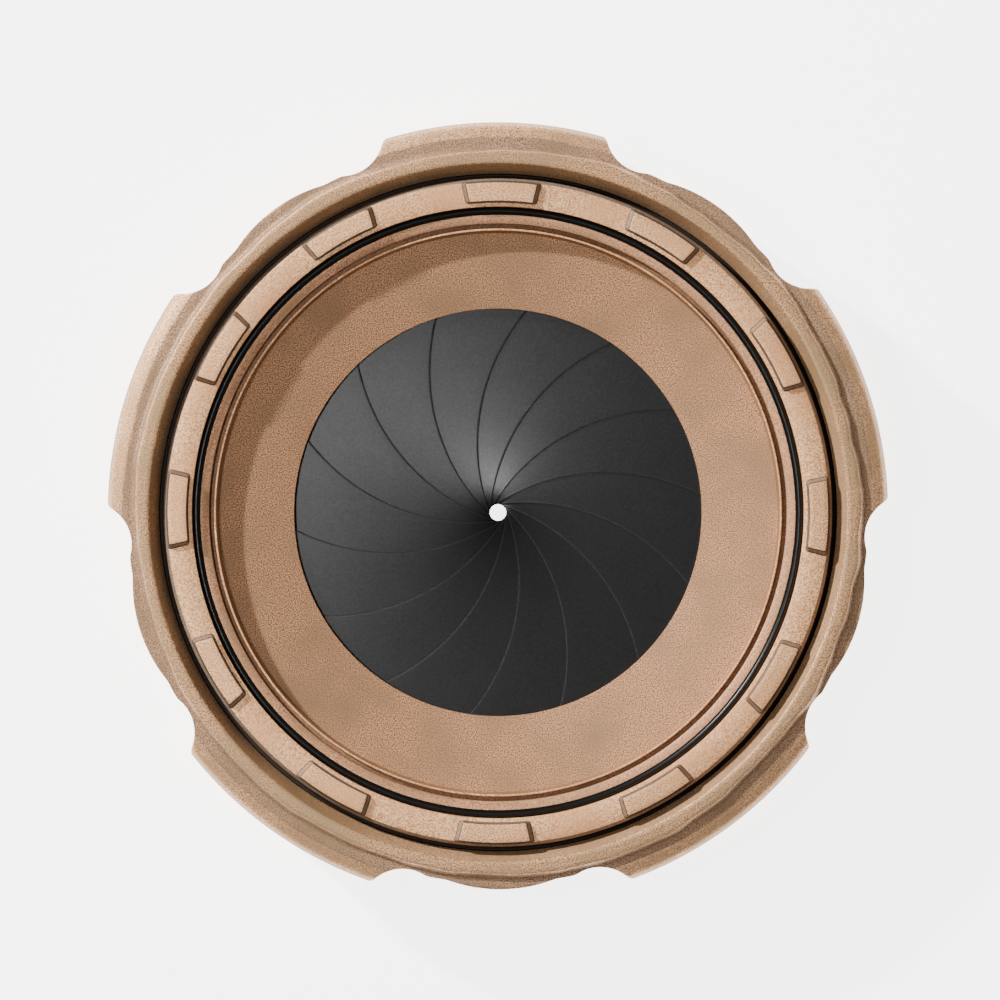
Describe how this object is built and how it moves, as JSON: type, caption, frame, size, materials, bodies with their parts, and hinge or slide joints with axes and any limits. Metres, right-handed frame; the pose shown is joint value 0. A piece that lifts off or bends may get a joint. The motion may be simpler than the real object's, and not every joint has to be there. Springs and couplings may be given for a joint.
{
  "type": "iris diaphragm",
  "caption": "Round iris diaphragm: a lugged grip ring turns a hidden cam ring that swings overlapping curved blades to open or close a central aperture.",
  "frame": {"origin": "centre of the rear bore on the optical axis, at the rear mounting face", "axes": "+Z along the optical axis towards the front; +Y towards the top of the front view"},
  "size_m": [0.0954, 0.0937, 0.0169],
  "materials": {
    "bronze_grip": "bead-blasted bronze anodising",
    "bronze_pads": "fine-blasted copper anodising",
    "bronze_disc": "satin copper anodising",
    "black_anodised": "matte black anodising",
    "blade_steel": "blackened matte",
    "screw_steel": "plain",
    "o_ring_rubber": "glossy",
    "glide_plastic": "matte"
  },
  "bodies": {
    "housing": {"base_housing": "black_anodised", "front_disc": "bronze_disc", "collar": "bronze_pads", "front_o_ring": "o_ring_rubber", "pad_ring": "bronze_pads", "glide_washer": "glide_plastic"},
    "control_ring": {"grip_ring": "bronze_grip", "cam_ring": "black_anodised", "drive_screws": "screw_steel"},
    "blade_01": {"blade_leaf_01": "blade_steel", "blade_studs_01": "screw_steel"},
    "blade_02": {"blade_leaf_02": "blade_steel", "blade_studs_02": "screw_steel"},
    "blade_03": {"blade_leaf_03": "blade_steel", "blade_studs_03": "screw_steel"},
    "blade_04": {"blade_leaf_04": "blade_steel", "blade_studs_04": "screw_steel"},
    "blade_05": {"blade_leaf_05": "blade_steel", "blade_studs_05": "screw_steel"},
    "blade_06": {"blade_leaf_06": "blade_steel", "blade_studs_06": "screw_steel"},
    "blade_07": {"blade_leaf_07": "blade_steel", "blade_studs_07": "screw_steel"},
    "blade_08": {"blade_leaf_08": "blade_steel", "blade_studs_08": "screw_steel"},
    "blade_09": {"blade_leaf_09": "blade_steel", "blade_studs_09": "screw_steel"},
    "blade_10": {"blade_leaf_10": "blade_steel", "blade_studs_10": "screw_steel"},
    "blade_11": {"blade_leaf_11": "blade_steel", "blade_studs_11": "screw_steel"},
    "blade_12": {"blade_leaf_12": "blade_steel", "blade_studs_12": "screw_steel"},
    "blade_13": {"blade_leaf_13": "blade_steel", "blade_studs_13": "screw_steel"},
    "blade_14": {"blade_leaf_14": "blade_steel", "blade_studs_14": "screw_steel"}
  },
  "joints": [
    {"name": "ring_turn", "type": "hinge", "parent": "housing", "child": "control_ring", "pos_m": [0, 0, 0.0052], "axis": [0, 0, -1], "range_deg": [0, 93.8]},
    {"name": "blade_01_swing", "type": "hinge", "parent": "housing", "child": "blade_01", "pos_m": [0.00202, 0.03013, 0.01014], "axis": [0, 0, -1], "range_deg": [0, 47.7]},
    {"name": "blade_02_swing", "type": "hinge", "parent": "housing", "child": "blade_02", "pos_m": [-0.01126, 0.02802, 0.01014], "axis": [0, 0, -1], "range_deg": [0, 47.7]},
    {"name": "blade_03_swing", "type": "hinge", "parent": "housing", "child": "blade_03", "pos_m": [-0.0223, 0.02036, 0.01014], "axis": [0, 0, -1], "range_deg": [0, 47.7]},
    {"name": "blade_04_swing", "type": "hinge", "parent": "housing", "child": "blade_04", "pos_m": [-0.02893, 0.00867, 0.01014], "axis": [0, 0, -1], "range_deg": [0, 47.7]},
    {"name": "blade_05_swing", "type": "hinge", "parent": "housing", "child": "blade_05", "pos_m": [-0.02983, -0.00474, 0.01014], "axis": [0, 0, -1], "range_deg": [0, 47.7]},
    {"name": "blade_06_swing", "type": "hinge", "parent": "housing", "child": "blade_06", "pos_m": [-0.02482, -0.01721, 0.01014], "axis": [0, 0, -1], "range_deg": [0, 47.7]},
    {"name": "blade_07_swing", "type": "hinge", "parent": "housing", "child": "blade_07", "pos_m": [-0.01489, -0.02627, 0.01014], "axis": [0, 0, -1], "range_deg": [0, 47.7]},
    {"name": "blade_08_swing", "type": "hinge", "parent": "housing", "child": "blade_08", "pos_m": [-0.00202, -0.03013, 0.01014], "axis": [0, 0, -1], "range_deg": [0, 47.7]},
    {"name": "blade_09_swing", "type": "hinge", "parent": "housing", "child": "blade_09", "pos_m": [0.01126, -0.02802, 0.01014], "axis": [0, 0, -1], "range_deg": [0, 47.7]},
    {"name": "blade_10_swing", "type": "hinge", "parent": "housing", "child": "blade_10", "pos_m": [0.0223, -0.02036, 0.01014], "axis": [0, 0, -1], "range_deg": [0, 47.7]},
    {"name": "blade_11_swing", "type": "hinge", "parent": "housing", "child": "blade_11", "pos_m": [0.02893, -0.00867, 0.01014], "axis": [0, 0, -1], "range_deg": [0, 47.7]},
    {"name": "blade_12_swing", "type": "hinge", "parent": "housing", "child": "blade_12", "pos_m": [0.02983, 0.00474, 0.01014], "axis": [0, 0, -1], "range_deg": [0, 47.7]},
    {"name": "blade_13_swing", "type": "hinge", "parent": "housing", "child": "blade_13", "pos_m": [0.02482, 0.01721, 0.01014], "axis": [0, 0, -1], "range_deg": [0, 47.7]},
    {"name": "blade_14_swing", "type": "hinge", "parent": "housing", "child": "blade_14", "pos_m": [0.01489, 0.02627, 0.01014], "axis": [0, 0, -1], "range_deg": [0, 47.7]}
  ],
  "couplings": [
    {"joint": "blade_01_swing", "follows": "ring_turn", "ratio": 0.50761},
    {"joint": "blade_02_swing", "follows": "ring_turn", "ratio": 0.50761},
    {"joint": "blade_03_swing", "follows": "ring_turn", "ratio": 0.50761},
    {"joint": "blade_04_swing", "follows": "ring_turn", "ratio": 0.50761},
    {"joint": "blade_05_swing", "follows": "ring_turn", "ratio": 0.50761},
    {"joint": "blade_06_swing", "follows": "ring_turn", "ratio": 0.50761},
    {"joint": "blade_07_swing", "follows": "ring_turn", "ratio": 0.50761},
    {"joint": "blade_08_swing", "follows": "ring_turn", "ratio": 0.50761},
    {"joint": "blade_09_swing", "follows": "ring_turn", "ratio": 0.50761},
    {"joint": "blade_10_swing", "follows": "ring_turn", "ratio": 0.50761},
    {"joint": "blade_11_swing", "follows": "ring_turn", "ratio": 0.50761},
    {"joint": "blade_12_swing", "follows": "ring_turn", "ratio": 0.50761},
    {"joint": "blade_13_swing", "follows": "ring_turn", "ratio": 0.50761},
    {"joint": "blade_14_swing", "follows": "ring_turn", "ratio": 0.50761}
  ]
}
